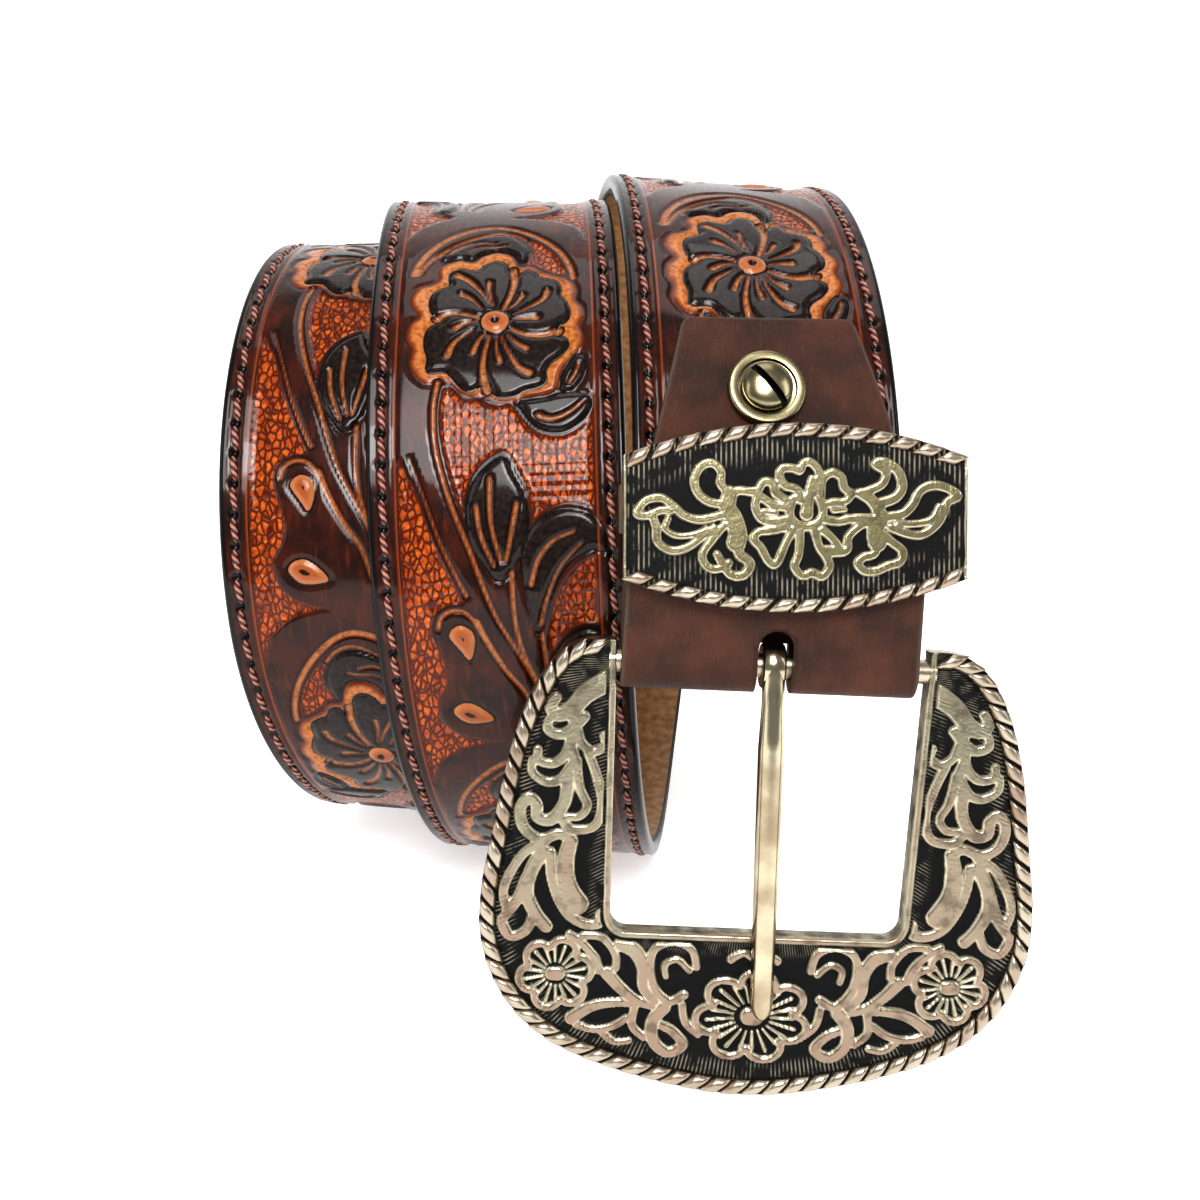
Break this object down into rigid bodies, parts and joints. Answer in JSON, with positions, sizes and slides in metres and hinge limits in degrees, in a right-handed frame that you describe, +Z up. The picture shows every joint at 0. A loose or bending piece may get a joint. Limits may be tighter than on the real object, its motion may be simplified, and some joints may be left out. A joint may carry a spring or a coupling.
{
  "type": "western leather belt",
  "caption": "Rolled-up tooled leather belt with a folded chape, a cast metal keeper and an open cast metal buckle with a tongue.",
  "frame": {"origin": "bottom centre of the whole rolled-up belt, on the surface it stands on", "axes": "+Z up, -Y towards the front with the buckle, +X along the roll's axis towards the buckle's side"},
  "size_m": [0.124, 0.1486, 0.1268],
  "materials": {
    "tooled_leather": "glossy hand-painted tooled leather, dark edges, orange-tan bevels",
    "lining_leather": "smooth natural tan leather",
    "chape_leather": "matte dark brown smooth leather",
    "cast_metal": "antiqued pale cast metal, polished relief over blackened ground",
    "screw_metal": "polished antique brass"
  },
  "bodies": {
    "belt": {"strap": "tooled_leather", "lining": "lining_leather", "chape": "chape_leather", "keeper": "cast_metal", "screw": "screw_metal", "screw_washer": "screw_metal", "screw_post": "screw_metal"},
    "buckle": {"buckle_frame": "cast_metal"},
    "prong": {"tongue": "cast_metal"}
  },
  "joints": [
    {"name": "buckle_swing", "type": "hinge", "parent": "belt", "child": "buckle", "pos_m": [0.02168, -0.05809, 0.06369], "axis": [-1, 0, 0], "range_deg": [0, 60]},
    {"name": "tongue_swing", "type": "hinge", "parent": "buckle", "child": "prong", "pos_m": [0.02168, -0.05809, 0.06369], "axis": [-1, 0, 0], "range_deg": [0, 42]}
  ]
}
